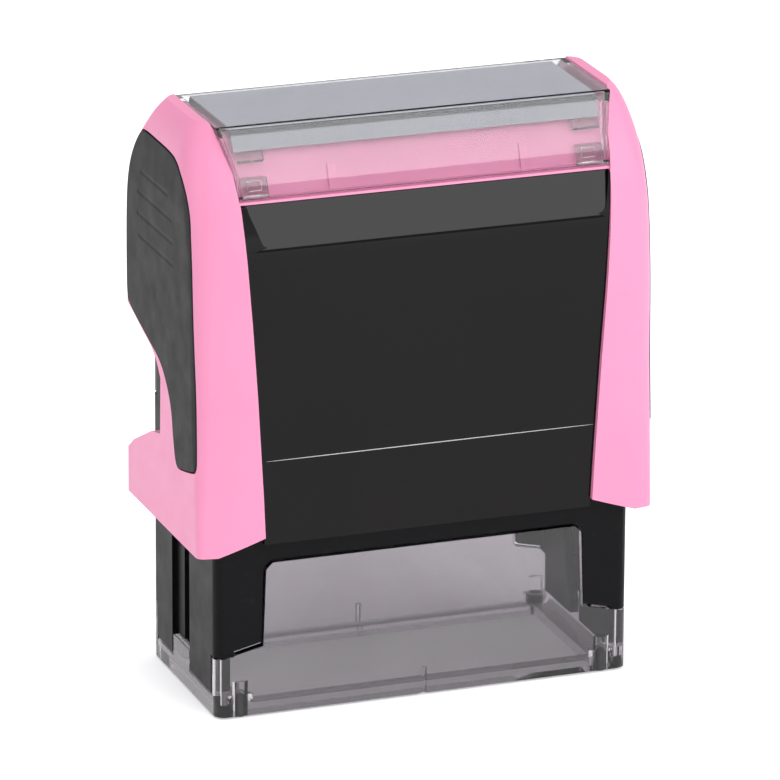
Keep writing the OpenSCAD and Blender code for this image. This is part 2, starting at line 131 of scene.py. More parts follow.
# a node tree with short calls for what the finishes below share
class Shader:
    def __init__(self, name):
        self.material = bpy.data.materials.new(name)
        self.material.use_nodes = True
        self.tree = self.material.node_tree
        self.body = self.tree.nodes["Principled BSDF"]
        self.place = self.add("ShaderNodeTexCoord").outputs["Object"]

    def add(self, kind, **values):
        node = self.tree.nodes.new(kind)
        for key, value in values.items():
            setattr(node, key, value)
        return node

    def link(self, source, target):
        self.tree.links.new(source, target)

    def noise(self, size, layers, stretch=(1, 1, 1)):
        # size is the width of one blotch in millimetres
        mapping = self.add("ShaderNodeMapping")
        mapping.inputs["Scale"].default_value = stretch
        self.link(self.place, mapping.inputs["Vector"])
        node = self.add("ShaderNodeTexNoise")
        node.inputs["Scale"].default_value = 1 / (size * mm)
        node.inputs["Detail"].default_value = noiseLayers[layers]
        self.link(mapping.outputs["Vector"], node.inputs["Vector"])
        return node.outputs["Fac"]

    def spread(self, source, low, high, fromLow=0.3, fromHigh=0.7):
        node = self.add("ShaderNodeMapRange")
        for key, value in (("From Min", fromLow), ("From Max", fromHigh), ("To Min", low),
                           ("To Max", high)):
            node.inputs[key].default_value = value
        self.link(source, node.inputs["Value"])
        return node.outputs["Result"]

    def blend(self, factor, first, second):
        node = self.add("ShaderNodeMix", data_type="RGBA")
        self.link(factor, node.inputs[0])
        for slot, value in ((6, first), (7, second)):
            if isinstance(value, tuple):
                node.inputs[slot].default_value = value
            else:
                self.link(value, node.inputs[slot])
        return node.outputs[2]

    def bump(self, height, depth, below=None):
        # depth in millimetres
        node = self.add("ShaderNodeBump")
        node.inputs["Distance"].default_value = depth * mm
        self.link(height, node.inputs["Height"])
        if below:
            self.link(below, node.inputs["Normal"])
        return node.outputs["Normal"]

    def fixed(self, **values):
        for key, value in values.items():
            self.body.inputs[key.replace("_", " ")].default_value = value


def plastic(name, colour, shade, rough, grain, grainDepth, specular=0.5, blotch=14.0, scuff=0.0,
            soft=0.0):
    # moulded plastic: slow change of tint, rough and smooth patches, fine eroded grain, faint scuffs
    made = Shader(name)
    tint = made.blend(made.spread(made.noise(blotch, "blotch"), 0, 1), colour + (1,), shade + (1,))
    if scuff:
        pale = tuple(min(1.0, c + scuff) for c in colour) + (1,)
        worn = made.spread(made.noise(moulding["scuffSize"], "patch"), 0, moulding["scuffMost"],
                           moulding["scuffFrom"], moulding["scuffTo"])
        tint = made.blend(worn, tint, pale)
    made.link(tint, made.body.inputs["Base Color"])
    patches = made.noise(moulding["patchSize"], "patch")
    made.link(made.spread(patches, *rough), made.body.inputs["Roughness"])
    fine = made.bump(made.noise(grain, "grain"), grainDepth)
    waves = made.noise(moulding["waveSize"], "wave")
    made.link(made.bump(waves, moulding["waveDepth"], fine), made.body.inputs["Normal"])
    made.fixed(Specular_IOR_Level=specular)
    if soft:
        made.fixed(Subsurface_Weight=soft, Subsurface_Scale=moulding["softReach"])
    return made.material


def clear(name, tint, haze, ior=1.49, rough=(0.02, 0.06), specular=0.5):
    # clear plastic: tinted all through, slight haze in blotches, flow marks too slight to distort
    made = Shader(name)
    blotches = made.spread(made.noise(clearSheet["hazeSize"], "blotch"), 0, 1)
    made.link(made.blend(blotches, tint + (1,), haze + (1,)), made.body.inputs["Base Color"])
    smooth = made.noise(clearSheet["smoothSize"], "haze")
    made.link(made.spread(smooth, *rough), made.body.inputs["Roughness"])
    marks = made.noise(clearSheet["markSize"], "wave", clearSheet["markStretch"])
    made.link(made.bump(marks, clearSheet["markDepth"]), made.body.inputs["Normal"])
    made.fixed(Transmission_Weight=1.0, IOR=ior, Specular_IOR_Level=specular)
    return made.material


def paper(name, colour, shade, foldShade=None):
    # stretched fibres in the tint and in a faint bump; at a fold, painted shade: a dark band along the
    # crease and a dimmer flap beyond it
    made = Shader(name)
    fibre = made.noise(paperSheet["fibreSize"], "fibre", paperSheet["fibreStretch"])
    tint = made.blend(made.spread(fibre, 0, 1), colour + (1,), shade + (1,))
    if foldShade:
        split = made.add("ShaderNodeSeparateXYZ")
        made.link(made.place, split.inputs[0])
        away = made.add("ShaderNodeMath", operation="ABSOLUTE")
        made.link(split.outputs["Y"], away.inputs[0])
        near, far, blur = foldShade["near"] * mm, foldShade["far"] * mm, foldShade["blur"] * mm
        # painted shade: the flap beyond the crease is dimmed
        flap = made.spread(away.outputs[0], 0, 1, near, far)
        tint = made.blend(flap, tint, tuple(c * foldShade["flapShade"] for c in colour) + (1,))
        # painted shade: a dark band along the crease, with blurred edges
        rise = made.spread(away.outputs[0], 0, 1, near, near + blur)
        fall = made.spread(away.outputs[0], 1, 0, far - blur, far)
        both = made.add("ShaderNodeMath", operation="MULTIPLY")
        made.link(rise, both.inputs[0])
        made.link(fall, both.inputs[1])
        tint = made.blend(both.outputs[0], tint, foldShade["tint"])
    made.link(tint, made.body.inputs["Base Color"])
    patches = made.noise(paperSheet["patchSize"], "haze")
    made.link(made.spread(patches, *paperSheet["rough"]), made.body.inputs["Roughness"])
    made.link(made.bump(fibre, paperSheet["fibreDepth"]), made.body.inputs["Normal"])
    return made.material


def metal(name, colour, shade, rough, stretch):
    # drawn steel: stretched lines in tint, roughness and a faint bump
    made = Shader(name)
    lines = made.noise(brushing["lineSize"], "patch", stretch)
    tint = made.blend(made.spread(lines, 0, 1), colour + (1,), shade + (1,))
    made.link(tint, made.body.inputs["Base Color"])
    made.link(made.spread(lines, *rough), made.body.inputs["Roughness"])
    made.link(made.bump(lines, brushing["lineDepth"]), made.body.inputs["Normal"])
    made.fixed(Metallic=1.0)
    return made.material


finishes = {
    "shellPink": plastic("shellPink", (0.715, 0.245, 0.405), (0.695, 0.232, 0.39), (0.36, 0.46), 0.22,
                         0.004, 0.4, 16.0, 0.0, 0.08),
    "panelBlack": plastic("panelBlack", (0.0034, 0.0024, 0.0030), (0.0026, 0.0018, 0.0022),
                          (0.05, 0.10), 0.8, 0.0004, 0.17, 20.0),
    "gripGrey": plastic("gripGrey", (0.020, 0.020, 0.020), (0.017, 0.017, 0.017), (0.55, 0.68),
                        0.16, 0.012, 0.22, 8.0, 0.02),
    "windowClear": clear("windowClear", (0.97, 0.975, 0.985), (0.95, 0.955, 0.97), 1.36, (0.02, 0.05),
                         0.7),
    "blockClear": clear("blockClear", (0.80, 0.80, 0.79), (0.72, 0.72, 0.72), 1.3, (0.18, 0.3)),
    "cardPaper": paper("cardPaper", (0.45, 0.445, 0.50), (0.42, 0.415, 0.47), creaseShade),
    "lockGrey": plastic("lockGrey", (0.055, 0.055, 0.058), (0.045, 0.045, 0.048), (0.42, 0.55),
                        0.18, 0.008, 0.4, 4.0, 0.03),
    "springSteel": metal("springSteel", (0.58, 0.59, 0.61), (0.42, 0.43, 0.45), (0.22, 0.4),
                         (1, 1, 4)),
    "baseBlack": plastic("baseBlack", (0.0028, 0.0029, 0.0036), (0.0022, 0.0023, 0.0029), (0.34, 0.44),
                         0.16, 0.008, 0.10, 10.0, 0.008),
    "footSmoke": clear("footSmoke", (0.53, 0.505, 0.53), (0.50, 0.475, 0.50)),
    "footRubber": plastic("footRubber", (0.014, 0.014, 0.014), (0.02, 0.02, 0.02), (0.6, 0.8),
                          0.12, 0.012, 0.3, 2.0, 0.02),
    "trayBlack": plastic("trayBlack", (0.026, 0.026, 0.029), (0.020, 0.020, 0.022), (0.45, 0.6),
                         0.16, 0.008, 0.4, 8.0, 0.02),
    "feltInk": plastic("feltInk", (0.012, 0.012, 0.045), (0.02, 0.018, 0.05), (0.85, 1.0),
                       0.25, 0.10, 0.2, 3.0),
    "padGripGrey": plastic("padGripGrey", (0.10, 0.10, 0.105), (0.085, 0.085, 0.09), (0.5, 0.62),
                           0.16, 0.010, 0.4, 5.0, 0.03),
    "carrierGrey": plastic("carrierGrey", (0.032, 0.032, 0.038), (0.026, 0.026, 0.030),
                           (0.42, 0.56), 0.16, 0.008, 0.4, 8.0, 0.03),
    "foamWhite": plastic("foamWhite", (0.68, 0.66, 0.60), (0.58, 0.56, 0.50), (0.85, 0.98),
                         0.30, 0.06, 0.2, 4.0),
    "dieRubber": plastic("dieRubber", (0.26, 0.05, 0.042), (0.20, 0.038, 0.032), (0.5, 0.7),
                         0.14, 0.010, 0.3, 4.0),
    "pinSteel": metal("pinSteel", (0.62, 0.62, 0.64), (0.48, 0.48, 0.50), (0.18, 0.34), (0.2, 3, 3)),
    "lineGrey": paper("lineGrey", (0.42, 0.42, 0.43), (0.36, 0.36, 0.37)),
    "floorPale": plastic("floorPale", studio["floorColour"][:3], (0.915, 0.915, 0.92), (0.6, 0.7),
                         0.4, 0.002, 0.15, 400.0),
}
print("stage: materials", len(finishes))

# the shapes below are whole arrays in millimetres; meshFrom alone turns them into metres


def softened(points, rounds, closed=False):
    # corner cutting: each corner gives way to two points a quarter of the way along its two sides
    line = np.array(points, float)
    for _ in range(rounds):
        nextOnes = np.roll(line, -1, 0) if closed else line[1:]
        here = line if closed else line[:-1]
        pairs = np.stack([0.75 * here + 0.25 * nextOnes, 0.25 * here + 0.75 * nextOnes], 1)
        inner = pairs.reshape(-1, line.shape[1])
        line = inner if closed else np.vstack([line[:1], inner, line[-1:]])
    return line


def readCurve(curve, level):
    # value of a [value, height] curve at the heights
    return np.interp(level, curve[:, 1], curve[:, 0])


def meshFrom(name, points, faces):
    # a mesh object from points in millimetres, its faces turned outwards
    data = bpy.data.meshes.new(name)
    data.from_pydata((np.asarray(points) * mm).tolist(), [], faces)
    work = bmesh.new()
    work.from_mesh(data)
    bmesh.ops.recalc_face_normals(work, faces=work.faces)
    work.to_mesh(data)
    work.free()
    made = bpy.data.objects.new(name, data)
    scene.collection.objects.link(made)
    return made


def loftSolid(name, rings):
    # closed rings joined each to the next, both ends closed by one flat face
    count, size = rings.shape[:2]
    ids = np.arange(count * size).reshape(count, size)
    after = np.roll(ids, -1, axis=1)
    walls = np.stack([ids[:-1], after[:-1], after[1:], ids[1:]], -1).reshape(-1, 4)
    faces = walls.tolist() + [ids[0][::-1].tolist(), ids[-1].tolist()]
    return meshFrom(name, rings.reshape(-1, 3), faces)


def prism(name, outline, axis, low, high):
    # one outline carried straight along an axis; its two columns are the other two axes
    flat = np.asarray(outline, float)
    rings = np.zeros((2, len(flat), 3))
    rings[:, :, [k for k in range(3) if k != axis]] = flat
    rings[:, :, axis] = np.array([[low], [high]])
    return loftSolid(name, rings)


def combine(target, operation, *tools):
    # exact boolean, made final at once, and the tools are taken away
    for tool in tools:
        step = target.modifiers.new("step", "BOOLEAN")
        step.operation, step.solver, step.object = operation, "EXACT", tool
        made = bpy.data.meshes.new_from_object(
            target.evaluated_get(bpy.context.evaluated_depsgraph_get()))
        target.modifiers.clear()
        target.data = made
        bpy.data.objects.remove(tool)
    return target


# the share of the half width that stays flat, and the points on a bow and on a corner
outlineSteps = {"flatShare": 0.72, "bow": 9, "arc": 10}


def quarter(width, depth, drop, corner, level):
    # quarter outline: flat face, a bow that falls back as the square of the way to the corner,
    # then a round corner, one row for each level
    width, depth, drop, corner = (np.broadcast_to(np.asarray(v, float), level.shape)[:, None]
                                  for v in (width, depth, drop, corner))
    flatEnd = outlineSteps["flatShare"] * width
    slope = np.arctan2(2 * drop, width - corner - flatEnd)
    bowEnd = width - corner * (1 - np.sin(slope))
    share = np.linspace(0, 1, outlineSteps["bow"])[None, :]
    bowX = flatEnd + (bowEnd - flatEnd) * share
    bowY = depth - drop * share ** 2
    turn = (np.pi / 2 - slope) * (1 - np.linspace(0, 1, outlineSteps["arc"])[None, 1:])
    arcX = bowEnd - corner * np.sin(slope) + corner * np.cos(turn)
    arcY = depth - drop - corner * np.cos(slope) + corner * np.sin(turn)
    return np.hstack([bowX, arcX]), np.hstack([bowY, arcY])


def roundedRings(width, front, rear, level):
    # front and rear are (depth, drop, corner); mirrored quarters close the ring of each level
    x, y = quarter(width, *front, level)
    rearX, rearY = quarter(width, *rear, level)
    ringX = np.hstack([x, rearX[:, ::-1], -rearX, -x[:, ::-1]])
    ringY = np.hstack([-y, rearY[:, ::-1], rearY, -y[:, ::-1]])
    return np.stack([ringX, ringY, np.broadcast_to(level[:, None], ringX.shape)], -1)


# gaps in millimetres, angles in degrees, area in square millimetres
finishing = {"mergeGap": 0.002, "nodeMergeGap": 0.0005, "flatAngle": 0.3, "sharpAngle": 28,
             "bevelSteps": 2, "faceWeight": 100, "sameArea": 2}


def finishPiece(made, body, finish, stands=(), soften=0.2):
    # doubles merged, flat neighbours joined, edges rounded by a live bevel, then onto its body
    mergeGap, sharpAngle = finishing["mergeGap"] * mm, math.radians(finishing["sharpAngle"])
    work = bmesh.new()
    work.from_mesh(made.data)
    bmesh.ops.remove_doubles(work, verts=work.verts, dist=mergeGap)
    bmesh.ops.dissolve_degenerate(work, edges=work.edges, dist=mergeGap)
    bmesh.ops.dissolve_limit(work, angle_limit=math.radians(finishing["flatAngle"]),
                             verts=work.verts, edges=work.edges)
    work.to_mesh(made.data)
    work.free()
    made.data.polygons.foreach_set("use_smooth", [True] * len(made.data.polygons))
    made.data.set_sharp_from_angle(angle=sharpAngle)
    made.data.materials.clear()
    made.data.materials.append(finishes[finish])
    if soften:
        bevel = made.modifiers.new("softEdges", "BEVEL")
        bevel.width, bevel.segments = soften * mm, finishing["bevelSteps"]
        bevel.limit_method, bevel.angle_limit = "ANGLE", sharpAngle
        bevel.miter_outer = "MITER_ARC"
    # large faces decide the shading, so that flat faces look flat
    even = made.modifiers.new("evenShading", "WEIGHTED_NORMAL")
    even.mode, even.weight, even.keep_sharp = "FACE_AREA", finishing["faceWeight"], True
    even.thresh = finishing["sameArea"] * mm ** 2
    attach(made, body)
    if stands:
        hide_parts(*stands)
    return made


def mergedCopy(name, node):
    # a copy of a CAD node with its loose triangles merged, in the same place
    made = bpy.data.objects.new(name, cadNodes[node].data.copy())
    scene.collection.objects.link(made)
    work = bmesh.new()
    work.from_mesh(made.data)
    bmesh.ops.remove_doubles(work, verts=work.verts, dist=finishing["nodeMergeGap"] * mm)
    bmesh.ops.dissolve_limit(work, angle_limit=math.radians(finishing["flatAngle"]),
                             verts=work.verts, edges=work.edges)
    work.to_mesh(made.data)
    work.free()
    return made


# handle shell; what is cut away reaches far beyond it on both sides
handle = {
    "halfWidth": 32.0, "halfDepth": 15.25, "low": 23.3, "top": 80.0,
    "bendLow": 54, "bend": 55, "firstRing": 26.0, "ringGap": 3.0, "leaningRings": 34,
    # [set back, height] of the front, the rear and the sides
    "front": [[0, 23.3], [0, 52], [0, 55], [0.35, 62], [0.85, 66], [1.75, 70], [3.05, 73],
              [4.85, 76], [6.35, 78.5], [7.05, 80]],
    "rear": [[0, 23.3], [0, 58], [0, 62], [0.1, 66.6], [0.75, 69.5], [2.3, 72.7], [4.7, 76],
             [6.35, 78.5], [7.05, 80]],
    "side": [[0, 23.3], [0, 62], [0, 66], [0.1, 70], [0.35, 73.5], [0.9, 76.5], [1.8, 78.8],
             [2.9, 80]],
    # [radius, height] of the upright corners and [drop, height] of the bow towards them
    "frontCorner": [[1.1, 24], [1.9, 36], [2.6, 45], [3.0, 57], [3.6, 66], [4.6, 72], [5.2, 76],
                    [5.4, 80]],
    "rearCorner": [[0.5, 24], [0.7, 60], [1.1, 70], [1.8, 76], [2.2, 80]],
    "frontBow": [[0.85, 24], [1.05, 45], [1.1, 60], [1.1, 80]],
    "rearBow": [[0.15, 24], [0.15, 80]],
    "fieldHalf": [[22.9, 20], [22.9, 24.3], [23.2, 31], [24.0, 45], [24.9, 58], [25.5, 68],
                  [25.6, 72]],
    "shelf": [[12.75, 70.45], [12.6, 70.75], [11.45, 71.0], [11.2, 71.3], [10.2, 73.9],
              [8.5, 76.2], [7.3, 77.8], [7.0, 77.9]],
    "roofHalf": [[25.7, 66], [25.7, 70.5], [26.1, 74.5], [26.9, 77.5], [27.6, 80], [27.6, 92]],
    "roofHigh": 95, "fieldDepth": 11.8, "rearFieldFoot": [23.7, 40],
    "railEnds": [[29.3, 15], [29.3, 23.3], [22.9, 25.55], [0, 25.55], [-22.9, 25.55],
                 [-29.3, 23.3], [-29.3, 15]],
    "notch": [[40, 50], [14.56, 50], [8.2, 47.9], [4.7, 46.8], [2.5, 45.5], [0.84, 43.5],
              [1.1, 35.7], [4.6, 35], [12.3, 31.3], [14.6, 29.6], [40, 29.6]],
    "hollow": [[13.65, 10], [13.65, 60], [13, 65], [12, 70.2], [9, 70.8], [6.6, 75.2]],
    "hollowHalf": [[29.5, 10], [29.5, 70.2], [27.5, 72], [27.5, 75.2]],
    "hollowLevels": [10.0, 40.0, 60.0, 65.0, 70.2, 70.8, 73.0, 75.2],
    "hollowDrop": 0.01, "hollowCorner": 0.9,
    # [depth, height] of the low ribs on the slope under the window lip, front and rear
    "rib": [[10.4, 70.7], [11.5, 70.7], [11.4, 71.35], [10.38, 73.9], [10.05, 74.3], [9.6, 74.1]],
    "ribPlaces": [-12.3, 14.3], "ribHalf": 0.6,
    "bearing": 29.5, "bearingRadius": 1.56, "bearingFrom": 25, "bearingTo": 31.05,
    "cutReach": 40, "notchReach": 60, "leastCorner": 0.3, "soften": 0.28,
}
grip = {
    "outline": [[10.2, 74.6], [8.9, 75.15], [3.3, 75.1], [-1.6, 75.05], [-4.6, 74.6], [-6.8, 73.4],
                [-8.5, 71.9], [-9.7, 70.2], [-10.6, 68.3], [-11.35, 64.8], [-11.8, 60.8],
                [-12.3, 53.8], [-12.8, 45.6], [-13.2, 37.4], [-13.2, 35.4], [-12.6, 34.8],
                [-6.7, 33.5], [-5.6, 33.7], [-4.6, 36.9], [-3.9, 40.9], [-1.8, 44], [0.8, 46.1],
                [4.2, 47.1], [13.6, 50], [14.3, 51], [14.55, 54], [14.55, 60.5], [14.2, 66],
                [13.2, 70], [11.5, 73]],
    "middle": (0.0, 55.0), "pocketScale": 1.012, "pocketGap": 0.1, "depth": 1.0, "proud": 0.1,
    "inner": 29.4, "soften": 0.22,
    # each groove: rear end, front end, height
    "grooves": [[8.4, -2.5, 69.7], [9.5, -4.3, 66.75], [9.7, -4.7, 63.75], [9.1, -4.7, 60.8]],
    "grooveRadius": 0.9, "grooveDepth": 0.1, "grooveTip": 0.08, "grooveSides": 48,
    "grooveEndRings": 6,
}
frontCurve = softened(handle["front"], 2)
rearCurve = softened(handle["rear"], 2)
sideCurve = softened(handle["side"], 2)
# rings far apart on the upright part and close together where it leans
handleLevels = np.concatenate([
    [handle["low"]], np.arange(handle["firstRing"], handle["bendLow"], handle["ringGap"]),
    np.linspace(handle["bend"], handle["top"], handle["leaningRings"])])


def handleLoft(name, grow=0.0):
    # rounded rings, half depth and half width read from the set-back curves, all moved out by grow
    level = handleLevels
    faces = [(handle["halfDepth"] - readCurve(curve, level) + grow,
              readCurve(np.array(handle[bow]), level),
              np.maximum(readCurve(np.array(handle[corner]), level) + grow, handle["leastCorner"]))
             for curve, bow, corner in ((frontCurve, "frontBow", "frontCorner"),
                                        (rearCurve, "rearBow", "rearCorner"))]
    return loftSolid(name, roundedRings(
        handle["halfWidth"] - readCurve(sideCurve, level) + grow, *faces, level))


def mirroredOutline(curve):
    # a [half width, height] curve and its mirror image as one closed outline
    curve = np.asarray(curve, float)
    return np.vstack([curve, curve[::-1] * [-1, 1]])


def gripOutline(scale=1.0):
    # the softened outline, scaled about the middle of the grip
    middle = np.array(grip["middle"])
    return (softened(grip["outline"], 2, True) - middle) * scale + middle


def grooveCutter(x, z, front, rear):
    # a level rod with half spheres as ends, its axis outside the grip so that it bites little
    radius = grip["grooveRadius"]
    share = np.linspace(grip["grooveTip"], np.pi / 2, grip["grooveEndRings"])
    y = np.concatenate([front - radius * np.cos(share), rear + radius * np.cos(share[::-1])])
    size = radius * np.concatenate([np.sin(share), np.sin(share[::-1])])[:, None]
    turn = np.arange(grip["grooveSides"]) * np.pi / (grip["grooveSides"] / 2)
    rings = np.stack([x + size * np.cos(turn), np.broadcast_to(y[:, None], (len(y), len(turn))),
                      z + size * np.sin(turn)], -1)
    return loftSolid("groove", rings)


def circleOutline(y, z, radius, steps=32):
    # points at equal angles round a circle
    turn = np.arange(steps) * 2 * np.pi / steps
    return np.stack([y + radius * np.cos(turn), z + radius * np.sin(turn)], 1)


def makeHandleShell():
    # a solid bow, less its hollow, roof opening, fields, notch, grip pockets and axle bearings
    reach, shelfLow = handle["cutReach"], handle["shelf"][0][1]
    shell = handleLoft("handleShell")
    level = np.array(handle["hollowLevels"])
    hollowFace = (readCurve(np.array(handle["hollow"]), level), handle["hollowDrop"],
                  handle["hollowCorner"])
    hollow = loftSolid("hollow", roundedRings(
        readCurve(np.array(handle["hollowHalf"]), level), hollowFace, hollowFace, level))
    roofProfile = np.vstack([[[reach, handle["roofHigh"]], [reach, shelfLow]],
                             mirroredOutline(handle["shelf"]),
                             [[-reach, shelfLow], [-reach, handle["roofHigh"]]]])
    roof = prism("roof", roofProfile, 0, -reach, reach)
    combine(roof, "INTERSECT", prism("flare", mirroredOutline(handle["roofHalf"]), 1, -reach, reach))
    # both fields end at the shelf; the rear one begins at the fourth point of the front one
    frontField = np.array(handle["fieldHalf"])
    frontField[-1, 1] = shelfLow
    rearField = np.vstack([[handle["rearFieldFoot"]], frontField[3:]])
    fieldDepth, notchReach = handle["fieldDepth"], handle["notchReach"]
    cuts = [hollow, roof,
            prism("frontField", mirroredOutline(frontField), 1, -reach, -fieldDepth),
            prism("rearField", mirroredOutline(rearField), 1, fieldDepth, reach),
            prism("notch", handle["notch"], 0, -notchReach, notchReach),
            prism("railEnds", handle["railEnds"], 1, -reach, reach)]
    bearing = circleOutline(0, handle["bearing"], handle["bearingRadius"])
    for side in (-1, 1):
        pocket = prism("pocket", gripOutline(grip["pocketScale"]), 0,
                       *sorted((side * grip["inner"], side * reach)))
        floorDepth = grip["depth"] + grip["pocketGap"]
        cuts.append(combine(pocket, "DIFFERENCE", handleLoft("pocketFloor", -floorDepth)))
        cuts.append(prism("bearing", bearing, 0, *sorted(
            (side * handle["bearingFrom"], side * handle["bearingTo"]))))
    combine(shell, "DIFFERENCE", *cuts)
    half = handle["ribHalf"]
    ribs = [prism("rib", np.array(handle["rib"]) * [facing, 1], 0, x - half, x + half)
            for x in handle["ribPlaces"] for facing in (-1, 1)]
    combine(shell, "UNION", *ribs)
    finishPiece(shell, "handle", "shellPink", ["handle_shell"], handle["soften"])


def makeGrip(name, node, side):
    # the outline carried across the side, kept between two lofts of the handle, then grooved
    inner = grip["inner"] + grip["pocketGap"]
    made = prism(name, gripOutline(), 0, *sorted((side * inner, side * handle["cutReach"])))
    combine(made, "INTERSECT", handleLoft("outside", grip["proud"]))
    combine(made, "DIFFERENCE", handleLoft("inside", -grip["depth"]))
    for rear, front, height in grip["grooves"]:
        surface = handle["halfWidth"] - float(readCurve(sideCurve, height)) + grip["proud"]
        combine(made, "DIFFERENCE", grooveCutter(
            side * (surface - grip["grooveDepth"] + grip["grooveRadius"]), height, front, rear))
    finishPiece(made, "handle", "gripGrey", [node], grip["soften"])


makeHandleShell()
makeGrip("leftGrip", "left_grip", -1)
makeGrip("rightGrip", "right_grip", 1)
print("stage: handle shell and grips")

# glossy panels, front and rear
panel = {
    "setBack": 0.7, "thick": 0.85, "low": 24.35, "top": 70.3, "railGap": 0.04,
    "rearLow": 50.35, "leastThick": 0.5, "ringGap": 6.0, "leaningRings": 18,
    # [set back, height] of the face, and what the back lies deeper by
    "curve": [[0, 24.3], [0, 52], [0, 55], [0.3, 62], [0.5, 64.8], [1.25, 70.3]],
    "backLean": [[0, 55], [0.35, 62], [0.85, 66], [1.95, 70.3]],
    # the leaning strip, [x, height] with its rounded lower corners
    "strip": [[-24.95, 71.5], [-24.95, 70.2], [-23.3, 66.3], [-22.95, 65.35], [-22.6, 64.95],
              [-21.9, 64.8], [23.3, 64.8], [24.2, 65.0], [24.7, 65.5], [24.85, 66.3],
              [25.3, 70.2], [25.3, 71.5]],
    "stripFoot": 64.75, "stripHead": 70.3, "footY": -14.04, "headY": -12.62, "stripFar": 18.0,
    "lockSlot": [[-4.1, 51.9], [4.1, 51.9], [4.1, 55.1], [-4.1, 55.1]], "slotReach": (5, 30),
    "lineHeight": 35.85, "lineHalf": 22.9, "lineThick": 0.13, "lineShift": 0.3, "lineSteps": 41,
    "lineProud": 0.012, "lineDeep": 0.06, "lineLeast": 0.01, "soften": 0.12,
}
panelCurve = softened(panel["curve"], 2)


def panelRings(low, facing):
    # four-cornered rings from low to high: the face is set back by its curve, the back by its own
    firstRing = np.ceil(low / 4) * 4 + 2
    level = np.concatenate([
        [low], np.arange(firstRing, handle["bendLow"], panel["ringGap"]),
        np.linspace(handle["bend"], panel["top"], panel["leaningRings"])])
    half = readCurve(np.array(handle["fieldHalf"]), level) - panel["railGap"]
    front = handle["halfDepth"] - panel["setBack"] - readCurve(panelCurve, level)
    back = handle["halfDepth"] - panel["setBack"] - panel["thick"] - readCurve(
        np.array(panel["backLean"]), level)
    back = np.minimum(back, front - panel["leastThick"])
    x = np.stack([-half, half, half, -half], 1)
    y = np.stack([front, front, back, back], 1) * facing
    return np.stack([x, y, np.broadcast_to(level[:, None], x.shape)], -1)


def stripCutter(facing):
    # everything outside the leaning plane, within the strip's outline
    outline = softened(panel["strip"], 1, True)
    slope = (panel["headY"] - panel["footY"]) / (panel["stripHead"] - panel["stripFoot"])
    y = panel["footY"] + (outline[:, 1] - panel["stripFoot"]) * slope
    rings = np.stack([np.column_stack([outline[:, 0], place, outline[:, 1]])
                      for place in (np.full(len(outline), -panel["stripFar"]), y)])
    rings[:, :, 1] *= -facing
    return loftSolid("stripCut", rings)


def makePanels():
    # bowed sheets with the leaning strip cut into their upper edge, the rear one with a lock slot
    front = loftSolid("frontPanel", panelRings(panel["low"], -1))
    combine(front, "DIFFERENCE", stripCutter(-1))
    finishPiece(front, "handle", "panelBlack", ["front_panel"], panel["soften"])
    rear = loftSolid("rearPanel", panelRings(panel["rearLow"], 1))
    combine(rear, "DIFFERENCE", stripCutter(1),
            prism("lockSlot", panel["lockSlot"], 1, *panel["slotReach"]))
    finishPiece(rear, "handle", "panelBlack", ["rear_panel"], panel["soften"])


def makePanelLine():
    # the thin printed line: half its height is the root of one less the square of the place along it
    x = np.linspace(-1, 1, panel["lineSteps"])
    tall = panel["lineThick"] / 2 * np.sqrt(np.maximum(1 - x ** 2, 0)) + panel["lineLeast"]
    face = -(handle["halfDepth"] - panel["setBack"]) - panel["lineProud"]
    back = face + panel["lineDeep"]
    along = x * panel["lineHalf"] + panel["lineShift"]
    rings = np.stack([np.column_stack([along, np.full(len(x), y), panel["lineHeight"] + s * tall])
                      for y, s in ((face, 1), (back, 1), (back, -1), (face, -1))], 1)
    line = loftSolid("panelLine", rings)
    finishPiece(line, "handle", "lineGrey", soften=0)


makePanels()
makePanelLine()
print("stage: panels")

# clear window with its clip blocks, and the card under it
window = {
    # [half depth, height] of the outside, of the hollow and of the room for the shelf below it
    "outer": [[12.72, 71.1], [12.1, 72.8], [11.2, 74.6], [10.1, 76.55], [9.5, 77.6], [9.0, 78.4],
              [8.6, 79.1], [8.35, 79.6], [8.05, 79.8]],
    "inner": [[12.45, 70.6], [11.76, 72.63], [10.86, 74.43], [9.76, 76.38], [9.16, 77.43],
              [8.66, 78.22], [8.27, 78.9], [8.05, 79.27], [7.85, 79.42]],
    "under": [[12.3, 70.3], [12.1, 70.95], [11.4, 71.25], [10.35, 73.95], [8.65, 76.3],
              [7.4, 78.0]],
    "gap": 0.12, "wall": 0.6, "soften": 0.05,
    # clip blocks behind the front and rear sheets, [half depth, height], and where they stand
    "lowerBlock": [[12.2, 71.15], [11.65, 72.6], [11.25, 73.45], [10.48, 73.5], [11.35, 71.3]],
    "upperBlock": [[10.3, 75.3], [9.68, 76.5], [8.5, 76.5], [9.3, 75.3]],
    "blockFrom": 21.4, "blockTo": 25.1,
    "squareLow": 71.8, "squareHigh": 73.0, "squareFrom": 22.2, "squareTo": 24.1,
    "squareInside": 5, "squareFloor": 11.35, "blockSoften": 0.12,
}
card = {
    # [half depth, height]: the upper face from the flap's edge up, the lower one from the top down
    "outer": [[9.5, 76.68], [9.05, 77.42], [8.56, 78.18], [8.17, 78.84], [7.95, 79.17],
              [7.7, 79.3]],
    "inner": [[7.65, 79.05], [7.8, 79.0], [8.0, 78.7], [8.35, 78.05], [8.83, 77.3], [9.3, 76.58]],
    "half": 25.4, "soften": 0.04,
}


def cornerBlock(side, facing, key):
    # one clip block at a corner of the window; the lower ones have a sunk square
    outline = np.array(window[key]) * [facing, 1]
    made = prism(key, outline, 0, *sorted((side * window["blockFrom"], side * window["blockTo"])))
    if key == "lowerBlock":
        near, far = sorted((side * window["squareFrom"], side * window["squareTo"]))
        low, high = window["squareLow"], window["squareHigh"]
        square = [[near, low], [far, low], [far, high], [near, high]]
        combine(made, "DIFFERENCE", prism("square", square, 1, *sorted(
            (facing * window["squareInside"], facing * window["squareFloor"]))))
    return made


